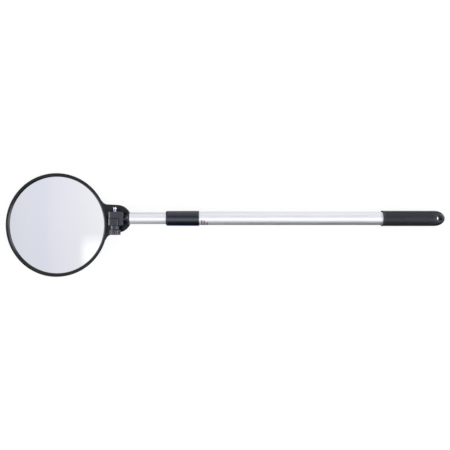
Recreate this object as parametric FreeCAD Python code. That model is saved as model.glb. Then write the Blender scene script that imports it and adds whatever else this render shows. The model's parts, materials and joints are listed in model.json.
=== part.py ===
"""Telescoping inspection mirror: a two-stage twist-lock pole with a hinged and swivelling round mirror.

Millimetres and degrees. Each part is drawn in the pole's frame: the origin is where the hinge pin
crosses the pole's axis, +X runs along the pole to the grip, and +Z is the side that the mirror faces.
The assembly is then laid on a bench, where the mirror's far edge and the grip touch z = 0.
"""
import FreeCAD
import Part
import math
import os

from FreeCAD import Placement, Rotation, Vector

# Pole tubes: standard aluminium tube, 22 mm over 19 mm, 1.2 mm walls
OUTER_TUBE_R = 11.0
INNER_TUBE_R = 9.5
TUBE_WALL = 1.2
OUTER_BORE_R = OUTER_TUBE_R - TUBE_WALL
INNER_BORE_R = INNER_TUBE_R - TUBE_WALL
INNER_FRONT_X = 24.1
INNER_REAR_X = 404.0
OUTER_REAR_X = 512.0

# Gaps between pieces that slide or turn in each other, and between pieces pushed together
RUNNING_GAP = 0.05
PUSH_GAP = 0.03

# Collar at the mouth of the outer tube, with the bush that guides the inner tube
COLLAR_FRONT_X = 82.7
COLLAR_LENGTH = 53.8
COLLAR_FRONT_R = 12.15
COLLAR_REAR_R = 12.4
COLLAR_CORNER_R = 2.2
COLLAR_LIP = 3.0
COLLAR_LIP_GAP = 0.2
BUSH_LENGTH = 9.0
COLLAR_REAR_X = COLLAR_FRONT_X + COLLAR_LENGTH
BUSH_FRONT_X = COLLAR_FRONT_X + COLLAR_LIP
OUTER_FRONT_X = BUSH_FRONT_X + BUSH_LENGTH

# Grip: ribbed sleeve with an oval nose and a hole to hang it by
GRIP_FRONT_X = 437.6
GRIP_LENGTH = 105.0
GRIP_R = 12.6
GRIP_NOSE = 17.5
GRIP_MOUTH_R = 12.95
GRIP_MOUTH_LENGTH = 1.2
GRIP_BORE_DEPTH = 76.0
RIB_PITCH = 2.0
RIB_GROOVE = 0.9
RIB_DEPTH = 0.45
RIBS_START = 6.0
RIBS_END = 82.0
PANEL_HALF_WIDTH = 10.0
PANEL_LINE = 0.7
HANG_HOLE_R = 4.5
HANG_HOLE_TO_END = 11.2
HANG_DISH_R = 7.3
HANG_HOLE_LENGTH = 17.6
GRIP_END_X = GRIP_FRONT_X + GRIP_LENGTH
HANG_HOLE_X = GRIP_END_X - HANG_HOLE_TO_END

# Twist lock at the rear end of the inner tube
LOCK_PLUG_LENGTH = 20.0
LOCK_FLANGE = 3.0
LOCK_STUD_R = 3.0
LOCK_STUD_ROOT = 8.0
LOCK_STUD_LENGTH = 52.0
PLUG_PIN_R = 1.5
PLUG_PIN_TO_END = 14.0
SLEEVE_GAP = 1.0
SLEEVE_LENGTH = 24.0
SLEEVE_R = 9.7
SLEEVE_NECK_R = 3.3
SLEEVE_NECK = 4.0
SLOT_WIDTH = 2.0
SLOT_LENGTH = 16.0
CONE_LENGTH = 14.0
CONE_OVERLAP = 8.0
CONE_SMALL_R = 5.2
CONE_LARGE_R = 8.2
CONE_GAP = 0.15
DRAG_RING_WIDTH = 2.4
DRAG_RING_SEAT_R = 8.5
STUD_NUT_WIDTH = 10.0
STUD_NUT_LENGTH = 4.0
SLEEVE_FRONT_X = INNER_REAR_X + LOCK_FLANGE + SLEEVE_GAP
SLEEVE_REAR_X = SLEEVE_FRONT_X + SLEEVE_LENGTH
CONE_FRONT_X = SLEEVE_REAR_X - CONE_OVERLAP
CONE_REAR_X = CONE_FRONT_X + CONE_LENGTH
STUD_END_X = INNER_REAR_X - LOCK_STUD_ROOT + LOCK_STUD_LENGTH
REAR_PLUG_LENGTH = 12.0

# Hinge: lugs side by side on one screw, whose axis is Y
PIN_R = 2.4
PIN_BORE_R = PIN_R + 0.15
LUG_TOP_Z = 8.0
LUG_FRONT_X = -9.6
LUG_CHAMFER = 2.6
POLE_LUG_Y = (0.45, 10.4)
HEAD_LUG_Y = (-11.4, -0.45)
SPINE_X = (7.4, 14.1)
SPINE_LOW_Y = -11.5
SPINE_CHAMFER = 1.0
LUG_RELIEF_R = 10.2
FLARE_R = (3.5, 9.0)
FLANGE_X = (21.9, INNER_FRONT_X)
WEB_Y = (-2.3, -0.3)
WEB_HALF_HEIGHT = 8.0
KNUCKLE_PLUG_LENGTH = 19.9
KNUCKLE_CORE_R = 5.5
NUT_WIDTH = 8.0
NUT_Y = (6.2, 10.2)
KNUCKLE_SCREW_X = 29.5
KNUCKLE_SCREW_R = 1.45
KNUCKLE_SCREW_HEAD_R = 2.6
KNUCKLE_SCREW_HEAD = 1.2
FRICTION_WASHER_Y = (-0.43, 0.43)
HINGE_WASHER_R = 6.5

# Clamping knob and its screw
KNOB_WASHER_Y = (-12.2, -11.45)
KNOB_TOP_Y = -12.22
KNOB_FLARE_Y = -19.3
KNOB_END_Y = -27.0
KNOB_NECK_R = 6.9
KNOB_FLARE_R = 8.9
KNOB_FLUTES = 12
KNOB_FLUTE_R = 1.5
KNOB_FLUTE_DEPTH = 0.8
SCREW_HEAD_Y = (-24.5, -21.5)
SCREW_HEAD_WIDTH = 8.0
SCREW_TIP_Y = (14.5, 18.0)
SCREW_TIP_R = 2.75
SCREW_PITCH = 0.8

# Turntable that carries the mirror, drawn with the mirror's back level
SWIVEL_Y = -0.55
TURNTABLE_R = 13.0
TURNTABLE_Z = (-13.9, -12.0)
HUB_R = 6.0
HUB_LOW_Z = -16.3
INSERT_R = 2.9
INSERT_TOP_Z = -12.8
SLIP_RING_R = (7.0, 12.6)
SWIVEL_WASHER_R = 8.0
SWIVEL_WASHER_Z = (-17.0, HUB_LOW_Z)
WAVE_WASHER_Z = (-17.5, -17.0)
SWIVEL_SCREW_R = 2.0
SWIVEL_SCREW_HEAD_R = 4.0
SWIVEL_SCREW_HEAD_Z = (-18.8, -17.5)

# Mirror head
MIRROR_REACH = 102.4
RING_R = 85.9
GLASS_R = 81.6
GLASS_SHOWN_R = 80.2
GLASS_THICKNESS = 2.0
GLASS_DOME_R = 941.0
CROWN_Z = -10.5
BACK_Z = -19.0
DISH_FLOOR_Z = -17.0
DISH_WALL_R = (81.8, 83.6)
DISH_WALL_TOP_Z = -14.0
DISH_SHOULDER = (84.8, -15.6)
DISH_FOOT_R = 81.5
BEZEL_CREST_Z = -10.8
BEZEL_CREST_R = (82.5, 85.2)
BEZEL_SIDE_Z = (-11.5, -13.3)
BACK_PANEL_R = 60.0
BACK_PANEL_DEPTH = 0.8
FOAM_RING_R = (70.0, 81.0)
TAB_R = 22.8
TAB_TAPER = 8.7
TAB_FILLET_R = 12.0
TAB_RING_R = 85.5
TAB_TOP_Z = -12.3
TAB_FLOOR_Z = (-16.3, -14.4)
TAB_SKIRT_Z = -18.0
TAB_SKIRT = 2.0
TAB_RECESS_R = 16.8
TAB_POCKET_R = 2.6
TAB_POCKET_AT = (-12.4, 15.2)
TAB_POCKET_DEPTH = 1.0
WELL_R = (10.0, 12.5)
TAB_RIB = 1.6
TAB_ROOT = 3.0

# How it lies: the head leans back on its hinge, the mirror is turned on its swivel,
# and the pole slopes down to the grip
HEAD_LEAN = 6.1
MIRROR_TURN = 5.8
POLE_SLOPE = 2.05

X = Vector(1, 0, 0)
Y = Vector(0, 1, 0)
Z = Vector(0, 0, 1)
ORIGIN = Vector(0, 0, 0)
AXES = {"X": X, "Y": Y, "Z": Z}
RADII = {"X": Y, "Y": X, "Z": X}
SWIVEL = Vector(0, SWIVEL_Y, 0)


def on_circle(centre, radius, angle):
    """Point of a circle in a drawing plane."""
    turn = math.radians(angle)
    return (centre[0] + radius * math.cos(turn), centre[1] + radius * math.sin(turn))


def arc(centre, radius, start, end):
    """Arc step of an outline, as its middle and end points."""
    return (on_circle(centre, radius, (start + end) / 2), on_circle(centre, radius, end))


def outline(to_space, start, steps):
    """Face inside a closed outline. A step is a point, or a pair of points for an arc."""
    edges = []
    here = to_space(*start)
    for step in list(steps) + [start]:
        if isinstance(step[0], tuple):
            middle = to_space(*step[0])
            end = to_space(*step[1])
            edges.append(Part.Arc(here, middle, end).toShape())
        else:
            end = to_space(*step)
            if end.distanceToPoint(here) < 1e-6:
                continue
            edges.append(Part.makeLine(here, end))
        here = end
    return Part.Face(Part.Wire(edges))


def turned(axis, start, *steps):
    """Solid of revolution. Points are (place along the axis, radius)."""
    def to_space(along, radius):
        return AXES[axis] * along + RADII[axis] * radius
    return outline(to_space, start, steps).revolve(ORIGIN, AXES[axis], 360)


def prism(axis, low, high, start, *steps):
    """Straight solid along an axis. Points are the other two coordinates, in X, Y, Z order."""
    def to_space(first, second):
        if axis == "X":
            return Vector(low, first, second)
        if axis == "Y":
            return Vector(first, low, second)
        return Vector(first, second, low)
    return outline(to_space, start, steps).extrude(AXES[axis] * (high - low))


def rod(axis, low, high, radius, centre=ORIGIN):
    """Cylinder along an axis."""
    return Part.makeCylinder(radius, high - low, centre + AXES[axis] * low, AXES[axis])


def sleeve(axis, low, high, outer, inner, centre=ORIGIN):
    """Tube along an axis."""
    return rod(axis, low, high, outer, centre).cut(rod(axis, low, high, inner, centre))


def block(x, y, z):
    """Box between pairs of coordinates."""
    return Part.makeBox(x[1] - x[0], y[1] - y[0], z[1] - z[0], Vector(x[0], y[0], z[0]))


def hexagon(axis, low, high, width):
    """Six-sided prism on an axis, by its width across the flats."""
    corner_r = width / math.sqrt(3)
    corners = [on_circle((0, 0), corner_r, 60 * side) for side in range(6)]
    return prism(axis, low, high, *corners)


def softened(solid, radius, chosen):
    """Solid with a fillet on each edge that the test chooses."""
    return solid.makeFillet(radius, [edge for edge in solid.Edges if chosen(edge)])


def cross_hole(x, radius):
    """Cutter for a hole right across the pole, along Y."""
    return rod("Y", -OUTER_TUBE_R, OUTER_TUBE_R, radius, X * x)


# ---- Pole ----

def make_outer_tube():
    return sleeve("X", OUTER_FRONT_X, OUTER_REAR_X, OUTER_TUBE_R, OUTER_BORE_R)


def make_inner_tube():
    tube = sleeve("X", INNER_FRONT_X, INNER_REAR_X, INNER_TUBE_R, INNER_BORE_R)
    pin_hole = cross_hole(INNER_REAR_X - PLUG_PIN_TO_END, PLUG_PIN_R)
    screw_hole = rod("Z", -INNER_TUBE_R, 0, KNUCKLE_SCREW_R, X * KNUCKLE_SCREW_X)
    head_seat = rod("Z", -INNER_TUBE_R, knuckle_screw_seat_z(), KNUCKLE_SCREW_HEAD_R, X * KNUCKLE_SCREW_X)
    return tube.cut([pin_hole, screw_hole, head_seat])


def make_collar():
    bore_r = OUTER_TUBE_R + PUSH_GAP
    corner = COLLAR_CORNER_R
    edge = 0.5
    body = turned(
        "X",
        (COLLAR_FRONT_X, INNER_TUBE_R + COLLAR_LIP_GAP),
        (COLLAR_FRONT_X, COLLAR_FRONT_R - corner),
        arc((COLLAR_FRONT_X + corner, COLLAR_FRONT_R - corner), corner, 180, 90),
        (COLLAR_REAR_X - edge, COLLAR_REAR_R),
        arc((COLLAR_REAR_X - edge, COLLAR_REAR_R - edge), edge, 90, 0),
        (COLLAR_REAR_X, bore_r),
        (BUSH_FRONT_X, bore_r),
        (BUSH_FRONT_X, INNER_TUBE_R + COLLAR_LIP_GAP),
    )
    groove_x = COLLAR_REAR_X - 2.8
    groove = sleeve("X", groove_x, groove_x + 0.6, COLLAR_REAR_R + 1, COLLAR_REAR_R - 0.3)
    return body.cut(groove)


def make_guide_bush():
    return sleeve("X", BUSH_FRONT_X, OUTER_FRONT_X, OUTER_TUBE_R, INNER_TUBE_R + RUNNING_GAP)


def make_rear_plug():
    plug = rod("X", OUTER_REAR_X - REAR_PLUG_LENGTH, OUTER_REAR_X, OUTER_BORE_R - RUNNING_GAP)
    head = rod("X", OUTER_REAR_X, GRIP_FRONT_X + GRIP_BORE_DEPTH - 0.1, OUTER_TUBE_R - RUNNING_GAP)
    core = rod("X", OUTER_REAR_X - REAR_PLUG_LENGTH, OUTER_REAR_X - 2, OUTER_BORE_R - 2)
    return plug.fuse(head).cut(core).removeSplitter()


# ---- Grip ----

def grip_form(inset):
    """Outer form of the grip, shrunk all over by an inset."""
    nose_x = GRIP_END_X - GRIP_NOSE
    radius = GRIP_R - inset
    oval = Part.Ellipse(X * nose_x, GRIP_NOSE - inset, radius)
    nose = Part.ArcOfEllipse(oval, 0, math.pi / 2).toShape()
    corners = [
        Vector(nose_x, radius, 0),
        Vector(GRIP_FRONT_X, radius, 0),
        X * GRIP_FRONT_X,
        X * (GRIP_END_X - inset),
    ]
    sides = Part.makePolygon(corners).Edges
    return Part.Face(Part.Wire([nose] + sides)).revolve(ORIGIN, X, 360)


def grip_panel(half_width):
    """Block over the ribbed panel, which ends in a half oval parallel to the nose."""
    nose_x = GRIP_END_X - GRIP_NOSE
    inset = GRIP_R - half_width
    oval = Part.Ellipse(Vector(nose_x, 0, -GRIP_R), GRIP_NOSE - inset, half_width).toShape()
    end = Part.Face(Part.Wire([oval])).extrude(Z * 2 * GRIP_R)
    start_x = GRIP_FRONT_X + RIBS_START - RIB_PITCH + inset - (GRIP_R - PANEL_HALF_WIDTH)
    straight = block((start_x, nose_x), (-half_width, half_width), (-GRIP_R, GRIP_R))
    return straight.fuse(end)


def make_grip():
    mouth_end_x = GRIP_FRONT_X + GRIP_MOUTH_LENGTH
    mouth = turned(
        "X",
        (GRIP_FRONT_X, 0),
        (GRIP_FRONT_X, GRIP_MOUTH_R - 0.2),
        (GRIP_FRONT_X + 0.2, GRIP_MOUTH_R),
        (mouth_end_x, GRIP_MOUTH_R),
        (mouth_end_x + 0.4, GRIP_R),
        (mouth_end_x + 0.4, 0),
    )
    form = grip_form(0).fuse(mouth)
    skin = grip_form(0).cut(grip_form(RIB_DEPTH))
    panel_line = grip_panel(PANEL_HALF_WIDTH).cut(grip_panel(PANEL_HALF_WIDTH - PANEL_LINE))
    cutters = [skin.common(panel_line)]
    grooves = int((RIBS_END - RIBS_START) / RIB_PITCH) + 1
    half_width = PANEL_HALF_WIDTH - PANEL_LINE / 2
    for index in range(grooves):
        x = GRIP_FRONT_X + RIBS_START + index * RIB_PITCH
        slab = block((x, x + RIB_GROOVE), (-half_width, half_width), (-GRIP_R, GRIP_R))
        cutters.append(skin.common(slab))
    bore = rod("X", GRIP_FRONT_X, GRIP_FRONT_X + GRIP_BORE_DEPTH, OUTER_TUBE_R + PUSH_GAP)
    hole_at = X * HANG_HOLE_X
    cutters.append(bore)
    cutters.append(rod("Z", -GRIP_R, GRIP_R, HANG_HOLE_R, hole_at))
    cutters.append(rod("Z", HANG_HOLE_LENGTH / 2, GRIP_R, HANG_DISH_R, hole_at))
    cutters.append(rod("Z", -GRIP_R, -HANG_HOLE_LENGTH / 2, HANG_DISH_R, hole_at))
    return form.cut(cutters)


# ---- Twist lock ----

def make_lock_plug():
    plug = rod("X", INNER_REAR_X - LOCK_PLUG_LENGTH, INNER_REAR_X, INNER_BORE_R - RUNNING_GAP)
    flange = rod("X", INNER_REAR_X, INNER_REAR_X + LOCK_FLANGE, INNER_TUBE_R - RUNNING_GAP)
    stud_hole = rod("X", INNER_REAR_X - LOCK_STUD_ROOT, INNER_REAR_X + LOCK_FLANGE, LOCK_STUD_R)
    pin_hole = cross_hole(INNER_REAR_X - PLUG_PIN_TO_END, PLUG_PIN_R)
    return plug.fuse(flange).cut([stud_hole, pin_hole]).removeSplitter()


def make_plug_pin():
    reach = INNER_TUBE_R - RUNNING_GAP
    return rod("Y", -reach, reach, PLUG_PIN_R, X * (INNER_REAR_X - PLUG_PIN_TO_END))


def make_lock_stud():
    return rod("X", INNER_REAR_X - LOCK_STUD_ROOT, STUD_END_X, LOCK_STUD_R)


def make_stud_nut():
    end_x = STUD_END_X - 2
    nut = hexagon("X", end_x - STUD_NUT_LENGTH, end_x, STUD_NUT_WIDTH)
    return nut.cut(rod("X", end_x - STUD_NUT_LENGTH, end_x, LOCK_STUD_R))


def cone_radius(x):
    """Radius of the expanding cone where it lies when locked."""
    return CONE_SMALL_R + (CONE_LARGE_R - CONE_SMALL_R) * (x - CONE_FRONT_X) / CONE_LENGTH


def make_expander_sleeve():
    neck_x = SLEEVE_FRONT_X + SLEEVE_NECK
    body = turned(
        "X",
        (SLEEVE_FRONT_X, SLEEVE_NECK_R),
        (SLEEVE_FRONT_X, SLEEVE_R),
        (SLEEVE_REAR_X, SLEEVE_R),
        (SLEEVE_REAR_X, cone_radius(SLEEVE_REAR_X) + CONE_GAP),
        (CONE_FRONT_X, CONE_SMALL_R + CONE_GAP),
        (neck_x, CONE_SMALL_R + CONE_GAP),
        (neck_x, SLEEVE_NECK_R),
    )
    slot_x = (SLEEVE_REAR_X - SLOT_LENGTH, SLEEVE_REAR_X)
    half_slot = (-SLOT_WIDTH / 2, SLOT_WIDTH / 2)
    across = (-SLEEVE_R, SLEEVE_R)
    slots = [block(slot_x, half_slot, across), block(slot_x, across, half_slot)]
    ring_seat = sleeve("X", *drag_ring_x(), SLEEVE_R, DRAG_RING_SEAT_R)
    return body.cut(slots + [ring_seat])


def drag_ring_x():
    front_x = SLEEVE_FRONT_X + 2
    return (front_x, front_x + DRAG_RING_WIDTH)


def make_drag_ring():
    front_x, rear_x = drag_ring_x()
    outer_r = OUTER_BORE_R - RUNNING_GAP
    shoulder_r = outer_r - 0.4
    return turned(
        "X",
        (front_x, DRAG_RING_SEAT_R),
        (front_x, shoulder_r),
        (((front_x + rear_x) / 2, outer_r), (rear_x, shoulder_r)),
        (rear_x, DRAG_RING_SEAT_R),
    )


def make_lock_cone():
    bore_r = LOCK_STUD_R + RUNNING_GAP
    cone = turned(
        "X",
        (CONE_FRONT_X, bore_r),
        (CONE_FRONT_X, CONE_SMALL_R),
        (CONE_REAR_X, CONE_LARGE_R),
        (CONE_REAR_X, bore_r),
    )
    half_key = SLOT_WIDTH / 2 - CONE_GAP
    key_r = SLEEVE_R - 0.7
    key_x = (CONE_FRONT_X + 1, CONE_REAR_X)
    keys = block(key_x, (-half_key, half_key), (-key_r, key_r))
    keys = keys.cut(rod("X", CONE_FRONT_X, CONE_REAR_X, CONE_SMALL_R - 0.5))
    return cone.fuse(keys).removeSplitter()


# ---- Hinge ----

def knuckle_screw_seat_z():
    """Where the flat seat of the knuckle's screw meets the tube's side."""
    return -math.sqrt(INNER_TUBE_R ** 2 - KNUCKLE_SCREW_HEAD_R ** 2)


def make_pole_knuckle():
    front_x = LUG_FRONT_X
    spine_front_x, spine_rear_x = SPINE_X
    top_z = LUG_TOP_Z
    lug = prism(
        "Y", POLE_LUG_Y[0], POLE_LUG_Y[1],
        (front_x, -top_z + LUG_CHAMFER),
        (front_x + LUG_CHAMFER, -top_z),
        (spine_rear_x - SPINE_CHAMFER, -top_z),
        (spine_rear_x, -top_z + SPINE_CHAMFER),
        (spine_rear_x, top_z - SPINE_CHAMFER),
        (spine_rear_x - SPINE_CHAMFER, top_z),
        (front_x + LUG_CHAMFER, top_z),
        (front_x, top_z - LUG_CHAMFER),
    )
    spine = prism(
        "Y", SPINE_LOW_Y, POLE_LUG_Y[0],
        (spine_front_x, -top_z),
        (spine_rear_x - SPINE_CHAMFER, -top_z),
        (spine_rear_x, -top_z + SPINE_CHAMFER),
        (spine_rear_x, top_z - SPINE_CHAMFER),
        (spine_rear_x - SPINE_CHAMFER, top_z),
        (spine_front_x, top_z),
    )
    spine = spine.cut(rod("Y", SPINE_LOW_Y, POLE_LUG_Y[0], LUG_RELIEF_R))
    flare = turned(
        "X",
        (spine_rear_x, 0),
        (spine_rear_x, FLARE_R[0]),
        (FLANGE_X[0], FLARE_R[1]),
        (FLANGE_X[0], 0),
    )
    web = prism(
        "Y", WEB_Y[0], WEB_Y[1],
        (spine_rear_x, -WEB_HALF_HEIGHT + SPINE_CHAMFER),
        (FLANGE_X[0], -FLARE_R[1]),
        (FLANGE_X[0], FLARE_R[1]),
        (spine_rear_x, WEB_HALF_HEIGHT - SPINE_CHAMFER),
    )
    flange = rod("X", FLANGE_X[0], FLANGE_X[1], INNER_TUBE_R)
    plug_end_x = INNER_FRONT_X + KNUCKLE_PLUG_LENGTH
    plug = rod("X", INNER_FRONT_X, plug_end_x, INNER_BORE_R - RUNNING_GAP)
    solid = lug.fuse([spine, flare, web, flange, plug])
    corner = 2.0
    low_corner = prism(
        "Z", -top_z, top_z,
        (spine_rear_x, SPINE_LOW_Y),
        (spine_rear_x, SPINE_LOW_Y + corner),
        (spine_rear_x - corner, SPINE_LOW_Y),
    )
    high_corner = prism(
        "Z", -top_z, top_z,
        (spine_rear_x, POLE_LUG_Y[1]),
        (spine_rear_x - corner, POLE_LUG_Y[1]),
        (spine_rear_x, POLE_LUG_Y[1] - corner),
    )
    cutters = [
        low_corner,
        high_corner,
        rod("Y", POLE_LUG_Y[0], POLE_LUG_Y[1], PIN_BORE_R),
        hexagon("Y", NUT_Y[0], POLE_LUG_Y[1], NUT_WIDTH + 2 * RUNNING_GAP),
        rod("X", KNUCKLE_SCREW_X + 5, plug_end_x, KNUCKLE_CORE_R),
        rod("Z", -INNER_TUBE_R, -3, KNUCKLE_SCREW_R, X * KNUCKLE_SCREW_X),
    ]
    return solid.cut(cutters).removeSplitter()


def make_captive_nut():
    nut = hexagon("Y", NUT_Y[0], NUT_Y[1], NUT_WIDTH)
    return nut.cut(rod("Y", NUT_Y[0], NUT_Y[1], PIN_R + RUNNING_GAP))


def make_socket_screw():
    at = X * KNUCKLE_SCREW_X
    seat_z = knuckle_screw_seat_z()
    low_z = seat_z - KNUCKLE_SCREW_HEAD
    head = rod("Z", low_z, seat_z, KNUCKLE_SCREW_HEAD_R - PUSH_GAP, at)
    shank = rod("Z", seat_z, -3.5, KNUCKLE_SCREW_R, at)
    head = softened(head, 0.4, lambda edge: abs(edge.BoundBox.ZMax - low_z) < 0.01)
    socket = hexagon("Z", low_z, low_z + 0.8, 2.0)
    socket.translate(at)
    return head.fuse(shank).cut(socket).removeSplitter()


def make_friction_washer():
    return sleeve("Y", FRICTION_WASHER_Y[0], FRICTION_WASHER_Y[1], HINGE_WASHER_R, PIN_BORE_R)


def make_knob_washer():
    return sleeve("Y", KNOB_WASHER_Y[0], KNOB_WASHER_Y[1], HINGE_WASHER_R, PIN_BORE_R)


def make_hinge_knob():
    lead = 1.4
    edge = 0.6
    body = turned(
        "Y",
        (KNOB_TOP_Y, 0),
        (KNOB_TOP_Y, KNOB_NECK_R - 0.3),
        (KNOB_TOP_Y - 0.3, KNOB_NECK_R),
        (KNOB_FLARE_Y + lead, KNOB_NECK_R),
        (KNOB_FLARE_Y, KNOB_FLARE_R),
        (KNOB_END_Y + edge, KNOB_FLARE_R),
        arc((KNOB_END_Y + edge, KNOB_FLARE_R - edge), edge, 90, 180),
        (KNOB_END_Y, 4.5),
        (KNOB_END_Y + 0.5, 4.0),
        (KNOB_END_Y + 0.5, 0),
    )
    flute_at_r = KNOB_FLARE_R + KNOB_FLUTE_R - KNOB_FLUTE_DEPTH
    cutters = [rod("Y", SCREW_HEAD_Y[1], KNOB_TOP_Y, PIN_R), hexagon("Y", *SCREW_HEAD_Y, SCREW_HEAD_WIDTH)]
    for index in range(KNOB_FLUTES):
        x, z = on_circle((0, 0), flute_at_r, 360 * (index + 0.5) / KNOB_FLUTES)
        cutters.append(rod("Y", KNOB_END_Y, KNOB_FLARE_Y + lead, KNOB_FLUTE_R, Vector(x, 0, z)))
    return body.cut(cutters)


def make_hinge_stud():
    head = hexagon("Y", *SCREW_HEAD_Y, SCREW_HEAD_WIDTH)
    shank = rod("Y", SCREW_HEAD_Y[1], SCREW_TIP_Y[0], PIN_R)
    edge = 0.5
    tip = turned(
        "Y",
        (SCREW_TIP_Y[0] - edge, 0),
        (SCREW_TIP_Y[0] - edge, PIN_R),
        (SCREW_TIP_Y[0], SCREW_TIP_R),
        (SCREW_TIP_Y[1] - edge, SCREW_TIP_R),
        arc((SCREW_TIP_Y[1] - edge, SCREW_TIP_R - edge), edge, 90, 0),
        (SCREW_TIP_Y[1], 0),
    )
    stud = head.fuse([shank, tip])
    first_y = POLE_LUG_Y[1] + 0.3
    threads = []
    for index in range(int((SCREW_TIP_Y[0] - first_y) / SCREW_PITCH)):
        y = first_y + index * SCREW_PITCH
        threads.append(turned(
            "Y",
            (y, PIN_R + 0.1),
            (y + SCREW_PITCH / 2, PIN_R - 0.25),
            (y + SCREW_PITCH, PIN_R + 0.1),
        ))
    return stud.cut(threads)


# ---- Turntable and swivel ----

def make_hinge_turntable():
    disc = rod("Z", TURNTABLE_Z[0], TURNTABLE_Z[1], TURNTABLE_R, SWIVEL)
    disc = softened(disc, 0.5, lambda edge: abs(edge.BoundBox.ZMin - TURNTABLE_Z[1]) < 0.01)
    hub = rod("Z", HUB_LOW_Z, TURNTABLE_Z[0], HUB_R, SWIVEL)
    foot_z = TURNTABLE_Z[1] - 0.2
    rear_x = SPINE_X[0] - 0.5
    lug = prism(
        "Y", HEAD_LUG_Y[0], HEAD_LUG_Y[1],
        (LUG_FRONT_X, foot_z),
        (LUG_FRONT_X, LUG_TOP_Z - LUG_CHAMFER),
        (LUG_FRONT_X + LUG_CHAMFER, LUG_TOP_Z),
        (rear_x - 1, LUG_TOP_Z),
        (rear_x, LUG_TOP_Z - 1),
        (rear_x, -1),
        (rear_x - 1.5, foot_z),
    )
    pin_bore = rod("Y", HEAD_LUG_Y[0], HEAD_LUG_Y[1], PIN_BORE_R)
    insert_seat = rod("Z", HUB_LOW_Z, INSERT_TOP_Z, INSERT_R, SWIVEL)
    return disc.fuse([hub, lug]).cut([pin_bore, insert_seat]).removeSplitter()


def make_swivel_insert():
    return sleeve("Z", HUB_LOW_Z, INSERT_TOP_Z, INSERT_R, SWIVEL_SCREW_R, SWIVEL)


def make_slip_ring():
    return sleeve("Z", TAB_FLOOR_Z[1], TURNTABLE_Z[0], SLIP_RING_R[1], SLIP_RING_R[0], SWIVEL)


def make_swivel_washer():
    return sleeve("Z", *SWIVEL_WASHER_Z, SWIVEL_WASHER_R, SWIVEL_SCREW_R + 0.1, SWIVEL)


def make_wave_washer():
    return sleeve("Z", *WAVE_WASHER_Z, SWIVEL_SCREW_HEAD_R + 0.6, SWIVEL_SCREW_R + 0.1, SWIVEL)


def make_swivel_screw():
    low_z, high_z = SWIVEL_SCREW_HEAD_Z
    head = rod("Z", low_z, high_z, SWIVEL_SCREW_HEAD_R, SWIVEL)
    head = softened(head, 0.6, lambda edge: abs(edge.BoundBox.ZMax - low_z) < 0.01)
    shank = rod("Z", high_z, INSERT_TOP_Z - 0.1, SWIVEL_SCREW_R, SWIVEL)
    half = 0.45
    reach = 2.2
    depth = (low_z, low_z + 0.9)
    cross = [block((-half, half), (-reach, reach), depth), block((-reach, reach), (-half, half), depth)]
    for bar in cross:
        bar.translate(SWIVEL)
    return head.fuse(shank).cut(cross).removeSplitter()


# ---- Mirror head, drawn on the swivel's axis with the mirror's centre on -X ----

def on_mirror(solid):
    """Move a solid that was turned about the Z axis to the mirror's centre."""
    moved = solid.copy()
    moved.translate(X * -MIRROR_REACH)
    return moved


def glass_drop(radius):
    """How far the dome has fallen at a radius."""
    return GLASS_DOME_R - math.sqrt(GLASS_DOME_R ** 2 - radius ** 2)


def make_mirror_glass():
    edge_z = CROWN_Z - glass_drop(GLASS_R)
    middle_r = GLASS_R / 2
    middle_z = CROWN_Z - glass_drop(middle_r)
    below = GLASS_THICKNESS
    return on_mirror(turned(
        "Z",
        (CROWN_Z, 0),
        ((middle_z, middle_r), (edge_z, GLASS_R)),
        (edge_z - below, GLASS_R),
        ((middle_z - below, middle_r), (CROWN_Z - below, 0)),
    ))


def make_foam_ring():
    inner_r, outer_r = FOAM_RING_R
    clear = GLASS_THICKNESS + RUNNING_GAP
    return on_mirror(turned(
        "Z",
        (DISH_FLOOR_Z, inner_r),
        (DISH_FLOOR_Z, outer_r),
        (CROWN_Z - glass_drop(outer_r) - clear, outer_r),
        (CROWN_Z - glass_drop(inner_r) - clear, inner_r),
    ))


def make_bezel_ring():
    lip_z = CROWN_Z - glass_drop(GLASS_SHOWN_R) + 0.1
    slope_top_r, crest_end_r = BEZEL_CREST_R
    side_top_z, side_end_z = BEZEL_SIDE_Z
    shoulder_r, shoulder_z = DISH_SHOULDER
    seat_z = DISH_WALL_TOP_Z + 0.1
    skirt_z = shoulder_z + 0.2
    return on_mirror(turned(
        "Z",
        (lip_z, GLASS_SHOWN_R),
        (lip_z + 0.5, GLASS_SHOWN_R),
        (BEZEL_CREST_Z - 0.3, slope_top_r - 0.3),
        ((BEZEL_CREST_Z - 0.1, slope_top_r), (BEZEL_CREST_Z, slope_top_r + 0.4)),
        (BEZEL_CREST_Z, crest_end_r),
        ((BEZEL_CREST_Z - 0.2, RING_R - 0.2), (side_top_z, RING_R)),
        (side_end_z, RING_R),
        (skirt_z, shoulder_r + 0.2),
        (skirt_z, DISH_WALL_R[1] + 0.15),
        (seat_z, DISH_WALL_R[1] + 0.15),
        (seat_z, DISH_WALL_R[0] - 0.1),
        (lip_z, DISH_WALL_R[0] - 0.1),
    ))


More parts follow.
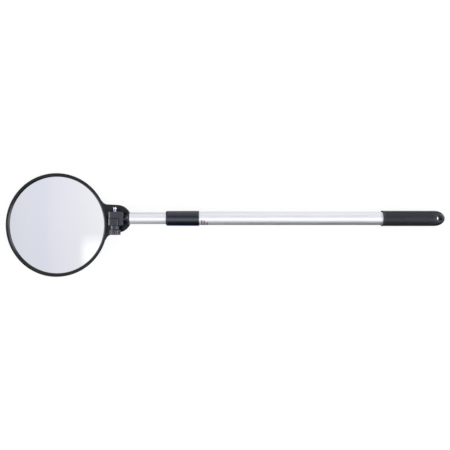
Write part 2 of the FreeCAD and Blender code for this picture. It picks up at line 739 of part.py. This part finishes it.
def tab_blank(inset, low_z, high_z):
    """Plan of the tab, shrunk by an inset: a round end that widens and runs into the ring
    through two concave fillets."""
    slant = math.radians(TAB_TAPER)
    edge_normal = Vector(math.sin(slant), math.cos(slant), 0)
    ring_to_fillet = TAB_RING_R + TAB_FILLET_R
    along_edge = Vector(-math.cos(slant), math.sin(slant), 0)
    foot = edge_normal * (TAB_R + TAB_FILLET_R)
    from_mirror = foot + X * MIRROR_REACH
    half_b = from_mirror.dot(along_edge)
    run = -half_b - math.sqrt(half_b ** 2 - from_mirror.dot(from_mirror) + ring_to_fillet ** 2)
    fillet_at = foot + along_edge * run
    ring_way = (X * -MIRROR_REACH - fillet_at).normalize()
    fillet_r = TAB_FILLET_R + inset
    end_corner = edge_normal * (TAB_R - inset)
    edge_corner = fillet_at - edge_normal * fillet_r
    ring_corner = fillet_at + ring_way * fillet_r
    inner_x = ring_corner.x - 12
    plan = [
        (end_corner.x, end_corner.y), (edge_corner.x, edge_corner.y), (ring_corner.x, ring_corner.y),
        (inner_x, ring_corner.y), (inner_x, -ring_corner.y),
        (ring_corner.x, -ring_corner.y), (edge_corner.x, -edge_corner.y), (end_corner.x, -end_corner.y),
    ]
    blank = prism("Z", low_z, high_z, *plan).fuse(rod("Z", low_z, high_z, TAB_R - inset))
    for side in (1, -1):
        at = Vector(fillet_at.x, side * fillet_at.y, 0)
        blank = blank.cut(rod("Z", low_z, high_z, fillet_r, at))
    return blank.removeSplitter()


def make_tab():
    mirror_at = X * -MIRROR_REACH
    tab = tab_blank(0, TAB_SKIRT_Z, TAB_TOP_Z)
    rim_start_x = -30
    tab = softened(
        tab, 0.5, lambda edge: edge.BoundBox.ZMin > TAB_TOP_Z - 0.01 and edge.BoundBox.XMin > rim_start_x,
    )
    hollow = tab_blank(TAB_SKIRT, TAB_SKIRT_Z, TAB_FLOOR_Z[0])
    hollow = hollow.cut(rod("Z", TAB_SKIRT_Z, TAB_FLOOR_Z[0], RING_R + TAB_ROOT, mirror_at))
    recess = rod("Z", TAB_FLOOR_Z[1], TAB_TOP_Z, TAB_RECESS_R)
    ring_room = rod("Z", DISH_SHOULDER[1] + 0.1, TAB_TOP_Z, RING_R + 0.2, mirror_at)
    cutters = [hollow, recess, ring_room]
    for side in (1, -1):
        at = Vector(TAB_POCKET_AT[0], side * TAB_POCKET_AT[1], 0)
        cutters.append(rod("Z", TAB_TOP_Z - TAB_POCKET_DEPTH, TAB_TOP_Z, TAB_POCKET_R, at))
    tab = tab.cut(cutters)
    well = sleeve("Z", BACK_Z, TAB_FLOOR_Z[0], WELL_R[1], WELL_R[0])
    ribs = []
    for angle in (-60, 0, 60):
        rib_x = (WELL_R[1] - 0.5, TAB_R - TAB_SKIRT / 2)
        rib = block(rib_x, (-TAB_RIB / 2, TAB_RIB / 2), (TAB_SKIRT_Z, TAB_FLOOR_Z[0]))
        rib.rotate(ORIGIN, Z, angle)
        ribs.append(rib)
    return tab.fuse([well] + ribs).cut(rod("Z", BACK_Z, TAB_TOP_Z, HUB_R + RUNNING_GAP))


def make_mirror_shell():
    wall_in_r, wall_out_r = DISH_WALL_R
    shoulder_r, shoulder_z = DISH_SHOULDER
    foot_round = 1.5
    dish = turned(
        "Z",
        (BACK_Z + BACK_PANEL_DEPTH, 0),
        (BACK_Z + BACK_PANEL_DEPTH, BACK_PANEL_R),
        (BACK_Z, BACK_PANEL_R + 1),
        (BACK_Z, DISH_FOOT_R - foot_round),
        ((BACK_Z + 0.5, DISH_FOOT_R - 0.2), (BACK_Z + foot_round, DISH_FOOT_R + 0.9)),
        (shoulder_z - 0.6, shoulder_r - 0.1),
        (shoulder_z, shoulder_r - 0.4),
        (shoulder_z, wall_out_r),
        (DISH_WALL_TOP_Z, wall_out_r),
        (DISH_WALL_TOP_Z, wall_in_r),
        (DISH_FLOOR_Z, wall_in_r),
        (DISH_FLOOR_Z, 0),
    )
    inside = rod("Z", BACK_Z, TAB_TOP_Z, (wall_in_r + wall_out_r) / 2, X * -MIRROR_REACH)
    return make_tab().cut(inside).fuse(on_mirror(dish)).removeSplitter()


# ---- Assembly ----

LEAN = Placement(ORIGIN, Rotation(Y, -HEAD_LEAN))
TURN = Placement(ORIGIN, Rotation(Z, MIRROR_TURN))
POLE_PARTS = {
    "outer_tube": make_outer_tube, "collar": make_collar, "guide_bush": make_guide_bush,
    "grip": make_grip, "rear_plug": make_rear_plug,
    "expander_sleeve": make_expander_sleeve, "drag_ring": make_drag_ring, "lock_cone": make_lock_cone,
    "inner_tube": make_inner_tube, "lock_plug": make_lock_plug, "plug_pin": make_plug_pin,
    "lock_stud": make_lock_stud, "stud_nut": make_stud_nut, "pole_knuckle": make_pole_knuckle,
    "captive_nut": make_captive_nut, "socket_screw": make_socket_screw,
    "knob_washer": make_knob_washer, "hinge_knob": make_hinge_knob, "hinge_stud": make_hinge_stud,
}
HEAD_PARTS = {
    "hinge_turntable": make_hinge_turntable, "friction_washer": make_friction_washer,
    "slip_ring": make_slip_ring, "swivel_insert": make_swivel_insert, "swivel_screw": make_swivel_screw,
    "swivel_washer": make_swivel_washer, "wave_washer": make_wave_washer,
}
MIRROR_PARTS = {
    "mirror_shell": make_mirror_shell, "bezel_ring": make_bezel_ring,
    "mirror_glass": make_mirror_glass, "foam_ring": make_foam_ring,
}
ON_POLE = Placement()
ON_HEAD = LEAN
ON_MIRROR = LEAN.multiply(Placement(SWIVEL, Rotation()).multiply(TURN))


def placed(solid, placement):
    """Copy of a solid, moved as one rigid piece."""
    moved = solid.copy()
    moved.Placement = placement.multiply(moved.Placement)
    return moved


def build():
    """Every part where it lies on the bench, and the placement of the pole's frame there."""
    solids = {}
    for parts, where in ((POLE_PARTS, ON_POLE), (HEAD_PARTS, ON_HEAD), (MIRROR_PARTS, ON_MIRROR)):
        for name, make in parts.items():
            solids[name] = placed(make(), where)
    slope = Placement(ORIGIN, Rotation(Y, POLE_SLOPE))
    sloped = Part.makeCompound([placed(solid, slope) for solid in solids.values()])
    box = sloped.optimalBoundingBox(False, False)
    bottom_centre = Vector(box.Center.x, box.Center.y, box.ZMin)
    on_bench = Placement(-bottom_centre, Rotation()).multiply(slope)
    return {name: placed(solid, on_bench) for name, solid in solids.items()}, on_bench


PARTS, ON_BENCH = build()
os.makedirs("parts", exist_ok=True)
for name, solid in PARTS.items():
    solid.exportStep(os.path.join("parts", name + ".step"))
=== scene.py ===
"""Looks for the telescoping inspection mirror: materials, the small tube label, studio and camera."""
import bmesh
import bpy
import json
import math
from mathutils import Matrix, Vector


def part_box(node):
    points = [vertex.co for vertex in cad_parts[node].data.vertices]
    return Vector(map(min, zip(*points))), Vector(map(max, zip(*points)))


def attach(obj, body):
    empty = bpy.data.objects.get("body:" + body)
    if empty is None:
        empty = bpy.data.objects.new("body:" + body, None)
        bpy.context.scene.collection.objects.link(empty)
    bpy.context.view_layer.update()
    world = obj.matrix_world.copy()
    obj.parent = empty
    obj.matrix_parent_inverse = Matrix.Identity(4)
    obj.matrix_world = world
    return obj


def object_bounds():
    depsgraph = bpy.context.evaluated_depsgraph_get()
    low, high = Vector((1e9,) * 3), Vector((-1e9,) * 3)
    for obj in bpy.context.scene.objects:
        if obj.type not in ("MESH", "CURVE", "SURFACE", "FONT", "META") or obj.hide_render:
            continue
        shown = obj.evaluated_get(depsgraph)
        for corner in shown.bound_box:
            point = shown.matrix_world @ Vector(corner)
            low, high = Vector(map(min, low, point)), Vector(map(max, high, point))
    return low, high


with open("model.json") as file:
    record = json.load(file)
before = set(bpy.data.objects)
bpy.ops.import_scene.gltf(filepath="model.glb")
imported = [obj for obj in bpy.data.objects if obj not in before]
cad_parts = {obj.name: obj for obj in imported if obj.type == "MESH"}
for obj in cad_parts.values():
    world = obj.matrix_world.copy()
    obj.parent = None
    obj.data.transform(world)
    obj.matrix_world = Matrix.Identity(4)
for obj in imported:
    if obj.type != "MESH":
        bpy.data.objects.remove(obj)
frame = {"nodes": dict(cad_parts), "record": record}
CAD_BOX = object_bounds()

# Sizes in metres, angles in degrees
CAMERA_HEIGHT = 1.048
CAMERA_ASIDE = 0.0009
CAMERA_LENS = 50.0
CAMERA_SENSOR = 36.0
FLOOR_HALF = 30.0
POLE_SLOPE = 2.05
GRAIN_DEPTH = 0.00003
LABEL_THICKNESS = 0.00005
LABEL_CLEARANCE = 0.00001
LABEL_STEP = 5
# Label shapes: (degrees round the tube from its top towards the front, half width)
UP_ARROW = [(13, 0.0002), (28, 0.0013), (28.5, 0.00065), (97, 0.00065)]
DOWN_ARROW = [(22, 0.00065), (84, 0.00065), (84.5, 0.0013), (95, 0.0002)]
ROSE_BAND = [(14, 0.0021), (98, 0.0021)]
GREY_MARK = [(36, 0.0008), (44, 0.0017), (98, 0.0017)]
# Middle of each mark, along the pole from the collar's end
UP_ARROW_X, DOWN_ARROW_X, GREY_MARK_X = 0.0035, 0.0088, 0.0126

# Noise scales, in cells per metre, and the part of a noise's range that its colours are spread over
GRAIN = 2600.0
PLASTIC_CLOUD, PLASTIC_GLOSS = 60.0, 220.0
STEEL_CLOUD, STEEL_GRAIN = 500.0, 1800.0
FOAM_CELLS = 1400.0
CLOUD_START, CLOUD_END = 0.3, 0.7
FLOOR_GREYS = (0.12, 0.13)
FLOOR_EMISSION = 0.885


# ---- Node helpers ----

def add(tree, kind, settings=None, **inputs):
    """New node with its settings, and its inputs set to values or linked to sockets."""
    node = tree.nodes.new(kind)
    for key, value in (settings or {}).items():
        setattr(node, key, value)
    for key, value in inputs.items():
        name = key.replace("_", " ")
        socket = node.inputs[int(key[1:])] if key[0] == "i" and key[1:].isdigit() else node.inputs[name]
        if isinstance(value, bpy.types.NodeSocket):
            tree.links.new(value, socket)
        else:
            socket.default_value = value
    return node


def ramp(tree, factor, stops):
    """Colour ramp through (position, colour) stops. Returns its colour socket."""
    node = add(tree, "ShaderNodeValToRGB", Fac=factor)
    elements = node.color_ramp.elements
    while len(elements) < len(stops):
        elements.new(0.5)
    for element, (position, colour) in zip(elements, stops):
        element.position = position
        element.color = (*colour, 1.0)
    return node.outputs["Color"]


def grey(level):
    return (level, level, level)


def spread(tree, value, low, high):
    """Map 0..1 to a range. Returns the result socket."""
    return add(tree, "ShaderNodeMapRange", Value=value, To_Min=low, To_Max=high).outputs["Result"]


def between(tree, value, low, high):
    """Map a range to 0..1. Returns the result socket."""
    node = add(tree, "ShaderNodeMapRange", Value=value, From_Min=low, From_Max=high)
    return node.outputs["Result"]


def mixed(tree, blend, factor, first, second):
    """Blend two colours. Returns the colour socket."""
    return add(tree, "ShaderNodeMix", {"data_type": "RGBA", "blend_type": blend}, i0=factor, i6=first,
               i7=second).outputs[2]


def new_material(name):
    """Empty node material with its output and Principled shader joined."""
    material = bpy.data.materials.new(name)
    material.use_nodes = True
    tree = material.node_tree
    tree.nodes.clear()
    shader = tree.nodes.new("ShaderNodeBsdfPrincipled")
    output = tree.nodes.new("ShaderNodeOutputMaterial")
    tree.links.new(shader.outputs["BSDF"], output.inputs["Surface"])
    return material, tree, shader


def place_of(tree, stretch=(1, 1, 1), slope=0.0):
    """Position on the piece, turned onto the pole's slope and stretched."""
    place = add(tree, "ShaderNodeTexCoord").outputs["Object"]
    mapping = add(tree, "ShaderNodeMapping", Vector=place)
    mapping.inputs["Rotation"].default_value = (0, math.radians(-slope), 0)
    mapping.inputs["Scale"].default_value = stretch
    return mapping.outputs["Vector"]


def noise(tree, place, scale, detail=3.0):
    return add(tree, "ShaderNodeTexNoise", Vector=place, Scale=scale, Detail=detail).outputs["Fac"]


# ---- Materials ----

def moulded_plastic(name, dark, light, roughness, specular=0.5, round_edge=0.0):
    """Moulded plastic: faint cloudy colour, uneven gloss and a fine spark-eroded grain."""
    material, tree, shader = new_material(name)
    place = place_of(tree)
    cloud = noise(tree, place, PLASTIC_CLOUD, 4.0)
    tree.links.new(ramp(tree, cloud, [(CLOUD_START, dark), (CLOUD_END, light)]), shader.inputs["Base Color"])
    gloss = noise(tree, place, PLASTIC_GLOSS, 2.0)
    tree.links.new(spread(tree, gloss, roughness - 0.05, roughness + 0.05), shader.inputs["Roughness"])
    shader.inputs["Specular IOR Level"].default_value = specular
    fine = noise(tree, place, GRAIN, 2.0)
    bump = add(tree, "ShaderNodeBump", Strength=0.35, Distance=GRAIN_DEPTH, Height=fine)
    if round_edge:
        bevel = add(tree, "ShaderNodeBevel", {"samples": 4}, Radius=round_edge)
        tree.links.new(bevel.outputs["Normal"], bump.inputs["Normal"])
    tree.links.new(bump.outputs["Normal"], shader.inputs["Normal"])
    return material


def brushed_tube(name):
    """Clear anodised drawn tube: fine streaks along its length under a satin gloss."""
    material, tree, shader = new_material(name)
    shader.inputs["Metallic"].default_value = 0.94
    along = place_of(tree, (6, 900, 900), POLE_SLOPE)
    streak = noise(tree, along, 1.0, 3.0)
    colours = [(CLOUD_START, (0.825, 0.83, 0.85)), (CLOUD_END, (0.88, 0.88, 0.90))]
    tree.links.new(ramp(tree, streak, colours), shader.inputs["Base Color"])
    tree.links.new(spread(tree, streak, 0.44, 0.52), shader.inputs["Roughness"])
    cloud = noise(tree, place_of(tree), 35.0, 2.0)
    both = add(tree, "ShaderNodeMath", {"operation": "ADD"}, i0=streak, i1=cloud).outputs[0]
    bump = add(tree, "ShaderNodeBump", Strength=0.12, Distance=0.00002, Height=both)
    tree.links.new(bump.outputs["Normal"], shader.inputs["Normal"])
    return material


def plated_steel(name, dark, light, roughness):
    """Zinc-plated or turned steel with a slightly uneven brightness."""
    material, tree, shader = new_material(name)
    shader.inputs["Metallic"].default_value = 1.0
    place = place_of(tree)
    cloud = noise(tree, place, STEEL_CLOUD, 3.0)
    tree.links.new(ramp(tree, cloud, [(CLOUD_START, dark), (CLOUD_END, light)]), shader.inputs["Base Color"])
    tree.links.new(spread(tree, cloud, roughness - 0.06, roughness + 0.06), shader.inputs["Roughness"])
    fine = noise(tree, place, STEEL_GRAIN, 2.0)
    bump = add(tree, "ShaderNodeBump", Strength=0.2, Distance=0.00002, Height=fine)
    tree.links.new(bump.outputs["Normal"], shader.inputs["Normal"])
    return material


def silvered_mirror(name):
    """Domed mirror: clean silvering with the faintest haze."""
    material, tree, shader = new_material(name)
    shader.inputs["Metallic"].default_value = 1.0
    cloud = noise(tree, place_of(tree), 9.0, 2.0)
    colours = [(CLOUD_START, (0.93, 0.935, 0.955)), (CLOUD_END, (0.95, 0.95, 0.965))]
    tree.links.new(ramp(tree, cloud, colours), shader.inputs["Base Color"])
    tree.links.new(spread(tree, cloud, 0.03, 0.06), shader.inputs["Roughness"])
    return material


def soft_foam(name):
    material, tree, shader = new_material(name)
    place = place_of(tree)
    cells = add(tree, "ShaderNodeTexVoronoi", Vector=place, Scale=FOAM_CELLS).outputs["Distance"]
    tree.links.new(ramp(tree, cells, [(0.0, (0.01, 0.01, 0.01)), (0.8, (0.05, 0.05, 0.05))]),
                   shader.inputs["Base Color"])
    shader.inputs["Roughness"].default_value = 0.95
    bump = add(tree, "ShaderNodeBump", Strength=0.6, Distance=0.0002, Height=cells)
    tree.links.new(bump.outputs["Normal"], shader.inputs["Normal"])
    return material


MATERIALS = {
    "anodised_tube": brushed_tube("anodised_tube_look"),
    "collar_plastic": moulded_plastic(
        "collar_plastic_look", (0.001, 0.004, 0.011), (0.003, 0.006, 0.017), 0.14, 0.60),
    "grip_plastic": moulded_plastic(
        "grip_plastic_look", (0.013, 0.014, 0.018), (0.018, 0.019, 0.024), 0.45, 0.5),
    "hinge_plastic": moulded_plastic(
        "hinge_plastic_look", (0.014, 0.016, 0.026), (0.021, 0.024, 0.036), 0.36, 0.55, round_edge=0.0004),
    "knob_plastic": moulded_plastic(
        "knob_plastic_look", (0.014, 0.016, 0.026), (0.021, 0.024, 0.036), 0.36, 0.55, round_edge=0.0003),
    "ring_plastic": moulded_plastic(
        "ring_plastic_look", (0.003, 0.0035, 0.005), (0.006, 0.007, 0.009), 0.30, 0.35),
    "inner_plastic": moulded_plastic(
        "inner_plastic_look", (0.02, 0.02, 0.022), (0.03, 0.03, 0.033), 0.45),
    "slip_plastic": moulded_plastic(
        "slip_plastic_look", (0.003, 0.003, 0.003), (0.005, 0.005, 0.005), 0.6, 0.1),
    "seal_rubber": moulded_plastic("seal_rubber_look", (0.012, 0.012, 0.012), (0.02, 0.02, 0.02), 0.7, 0.3),
    "foam": soft_foam("foam_look"),
    "plain_steel": plated_steel("plain_steel_look", (0.5, 0.5, 0.52), (0.62, 0.62, 0.64), 0.35),
    "zinc_steel": plated_steel("zinc_steel_look", (0.40, 0.44, 0.48), (0.48, 0.52, 0.56), 0.40),
    "black_steel": plated_steel("black_steel_look", (0.03, 0.03, 0.035), (0.06, 0.06, 0.065), 0.4),
    "brass_insert": plated_steel("brass_insert_look", (0.72, 0.53, 0.26), (0.82, 0.64, 0.35), 0.3),
    "mirror_face": silvered_mirror("mirror_face_look"),
}


def dress_nodes():
    """Give every CAD node the material of its slot."""
    for part in frame["record"]["subparts"]:
        node = frame["nodes"][part["node"]]
        node.data.materials.clear()
        node.data.materials.append(MATERIALS[part["material_slot"]])


# ---- Label ----

def round_the_tube(radius, x, degrees):
    """Point on the outer tube's surface, x along the pole from the collar's end."""
    slope, turn = math.radians(POLE_SLOPE), math.radians(degrees)
    pole = next(joint for joint in frame["record"]["behaviour"]["joints"] if joint["name"] == "lock_twist")
    start = Vector(pole["pos_m"])
    along = Vector((math.cos(slope), 0, -math.sin(slope)))
    up = Vector((math.sin(slope), 0, math.cos(slope)))
    collar_end = (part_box("collar")[1].x - start.x) / along.x
    outward = up * math.cos(turn) - Vector((0, 1, 0)) * math.sin(turn)
    return start + along * (collar_end + x) + outward * radius


def print_on_tube(name, material, x, outline, height=0.0):
    """Thin closed patch of the printed label, bent round the outer tube."""
    low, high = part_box("outer_tube")
    radius = (high.y - low.y) / 2 + height + LABEL_CLEARANCE
    top = radius + LABEL_THICKNESS
    rows = []
    for (start, start_half), (end, end_half) in zip(outline, outline[1:]):
        steps = max(1, round((end - start) / LABEL_STEP))
        for step in range(steps):
            part = step / steps
            rows.append((start + (end - start) * part, start_half + (end_half - start_half) * part))
    rows.append(outline[-1])
    shape = bmesh.new()
    rings = []
    for degrees, half in rows:
        corners = [(radius, -half), (top, -half), (top, half), (radius, half)]
        rings.append([shape.verts.new(round_the_tube(r, x + side, degrees)) for r, side in corners])
    for first, second in zip(rings, rings[1:]):
        for corner in range(4):
            after = (corner + 1) % 4
            shape.faces.new((first[corner], first[after], second[after], second[corner]))
    shape.faces.new(rings[0])
    shape.faces.new(rings[-1])
    bmesh.ops.recalc_face_normals(shape, faces=shape.faces)
    mesh = bpy.data.meshes.new(name)
    shape.to_mesh(mesh)
    shape.free()
    mesh.materials.append(material)
    patch = bpy.data.objects.new(name, mesh)
    bpy.context.scene.collection.objects.link(patch)
    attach(patch, "handle")


def make_label():
    """Small generic twist mark beside the collar: two opposed arrows on a rose band, and a grey mark."""
    red = plated_steel("label_red_look", (0.36, 0.20, 0.24), (0.44, 0.26, 0.30), 0.45)
    rose = plated_steel("label_rose_look", (0.70, 0.57, 0.61), (0.77, 0.64, 0.68), 0.45)
    ink = plated_steel("label_grey_look", (0.46, 0.46, 0.52), (0.54, 0.54, 0.60), 0.45)
    middle = (UP_ARROW_X + DOWN_ARROW_X) / 2
    print_on_tube("label_band", rose, middle, ROSE_BAND)
    print_on_tube("label_arrow_up", red, UP_ARROW_X, UP_ARROW, LABEL_THICKNESS)
    print_on_tube("label_arrow_down", red, DOWN_ARROW_X, DOWN_ARROW, LABEL_THICKNESS)
    print_on_tube("label_grey_mark", ink, GREY_MARK_X, GREY_MARK)


# ---- Studio ----

def make_floor():
    corners = [(-1, -1), (1, -1), (1, 1), (-1, 1)]
    mesh = bpy.data.meshes.new("floor")
    mesh.from_pydata([(x * FLOOR_HALF, y * FLOOR_HALF, 0) for x, y in corners], [], [(0, 1, 2, 3)])
    floor = bpy.data.objects.new("floor", mesh)
    bpy.context.scene.collection.objects.link(floor)
    material, tree, shader = new_material("floor_paper")
    cloud = noise(tree, place_of(tree), 2.0, 2.0)
    dark, light = FLOOR_GREYS
    colours = [(CLOUD_START, grey(dark)), (CLOUD_END, grey(light))]
    tree.links.new(ramp(tree, cloud, colours), shader.inputs["Base Color"])
    shader.inputs["Roughness"].default_value = 0.9
    shader.inputs["Specular IOR Level"].default_value = 0.0
    shader.inputs["Emission Color"].default_value = (1, 1, 1, 1)
    shader.inputs["Emission Strength"].default_value = FLOOR_EMISSION
    mesh.materials.append(material)
    floor.visible_glossy = False


# Brightness of the studio over the pole and over the head, by the angle round the pole in degrees,
# from straight up towards +Y
OVER_POLE = [
    (-180, 0.02), (-80, 0.02), (-72, 0.05), (-64, 0.14), (-57, 0.32), (-49, 0.62), (-41, 1.15), (-32, 1.70),
    (-24, 2.0), (-16, 2.2), (-9, 1.80), (-1, 1.30), (8, 0.92), (15, 0.74), (23, 0.60), (30, 0.36), (36, 0.66),
    (46, 1.0), (64, 1.15), (85, 1.15), (108, 1.2), (125, 1.1), (150, 0.8), (180, 0.6),
]
OVER_HEAD = [
    (-180, 0.03), (-104, 0.04), (-88, 0.40), (-70, 0.85), (-45, 0.92), (-28, 0.93), (-10, 0.97), (10, 1.01),
    (30, 1.03), (60, 0.95), (84, 0.75), (100, 0.10), (180, 0.03),
]
# Colour of the studio by how far it lies towards +X, from -1 to 1
ALONG = [
    (-1.0, (4.4, 4.4, 4.7)), (-0.93, (4.2, 4.2, 4.4)), (-0.84, (0.9, 0.9, 1.0)), (-0.68, (0.67, 0.68, 0.745)),
    (-0.54, (0.75, 0.765, 0.825)), (-0.457, (0.75, 0.775, 0.845)), (-0.38, (0.81, 0.81, 0.88)),
    (-0.28, (0.85, 0.85, 0.89)), (-0.19, (0.89, 0.89, 0.92)), (-0.12, (0.97, 0.967, 0.975)),
    (0.1, (0.96, 0.965, 0.98)), (0.3, (0.86, 0.89, 0.94)), (0.41, (0.78, 0.82, 0.88)),
    (0.50, (0.2, 0.21, 0.24)), (0.70, (0.1, 0.1, 0.12)), (0.77, (5.6, 5.65, 6.1)),
    (0.90, (5.6, 5.65, 6.1)), (0.94, (0.3, 0.3, 0.34)), (1.0, (0.3, 0.3, 0.34)),
]
# Where one part of the studio gives way to the next: by X, and for the glow's front by degrees
PANEL_EDGE = (-0.16, -0.11)
LEFT_END = (-0.90, -0.95)
GLOW_SIDE = (-0.285, -0.245)
GLOW_FRONT = (-2.5, -7.0)
GLOW_COLOUR = (1.3, 1.3, 1.25, 1.0)


def make_world():
    """Studio: a lit sweep overhead and behind, an even panel over the head with a glow at its front
    edge, a strip of light at each end, and a dark front."""
    world = bpy.data.worlds.new("studio")
    bpy.context.scene.world = world
    world.use_nodes = True
    tree = world.node_tree
    tree.nodes.clear()
    way = add(tree, "ShaderNodeTexCoord").outputs["Generated"]
    split = add(tree, "ShaderNodeSeparateXYZ", Vector=way)
    angle = add(tree, "ShaderNodeMath", {"operation": "ARCTAN2"},
                i0=split.outputs["Y"], i1=split.outputs["Z"])
    turn = between(tree, angle.outputs[0], -math.pi, math.pi)
    over_pole, over_head = [
        ramp(tree, turn, [((degrees + 180) / 360, grey(level)) for degrees, level in levels])
        for levels in (OVER_POLE, OVER_HEAD)
    ]
    side = between(tree, split.outputs["X"], -1, 1)
    along = ramp(tree, side, [((x + 1) / 2, colour) for x, colour in ALONG])
    glow_side = between(tree, split.outputs["X"], *GLOW_SIDE)
    glow_front = between(tree, angle.outputs[0], *[math.radians(degrees) for degrees in GLOW_FRONT])
    glow = add(tree, "ShaderNodeMath", {"operation": "MULTIPLY"}, i0=glow_side, i1=glow_front)
    over_head = mixed(tree, "MIX", glow.outputs[0], over_head, GLOW_COLOUR)
    past_panel = between(tree, split.outputs["X"], *PANEL_EDGE)
    around = mixed(tree, "MIX", past_panel, over_head, over_pole)
    left_end = between(tree, split.outputs["X"], *LEFT_END)
    around = mixed(tree, "MIX", left_end, around, (1.0, 1.0, 1.0, 1.0))
    colour = mixed(tree, "MULTIPLY", 1.0, around, along)
    background = add(tree, "ShaderNodeBackground", Color=colour, Strength=1.0)
    output = tree.nodes.new("ShaderNodeOutputWorld")
    tree.links.new(background.outputs["Background"], output.inputs["Surface"])


def make_camera():
    """Straight down over the middle of the object."""
    low, high = CAD_BOX
    data = bpy.data.cameras.new("camera")
    data.lens = CAMERA_LENS
    data.sensor_width = CAMERA_SENSOR
    camera = bpy.data.objects.new("camera", data)
    camera.location = ((low.x + high.x) / 2 + CAMERA_ASIDE, (low.y + high.y) / 2, CAMERA_HEIGHT)
    bpy.context.scene.collection.objects.link(camera)
    bpy.context.scene.camera = camera


bpy.context.scene.view_settings.view_transform = "Standard"
make_camera()
dress_nodes()
make_label()
make_floor()
make_world()
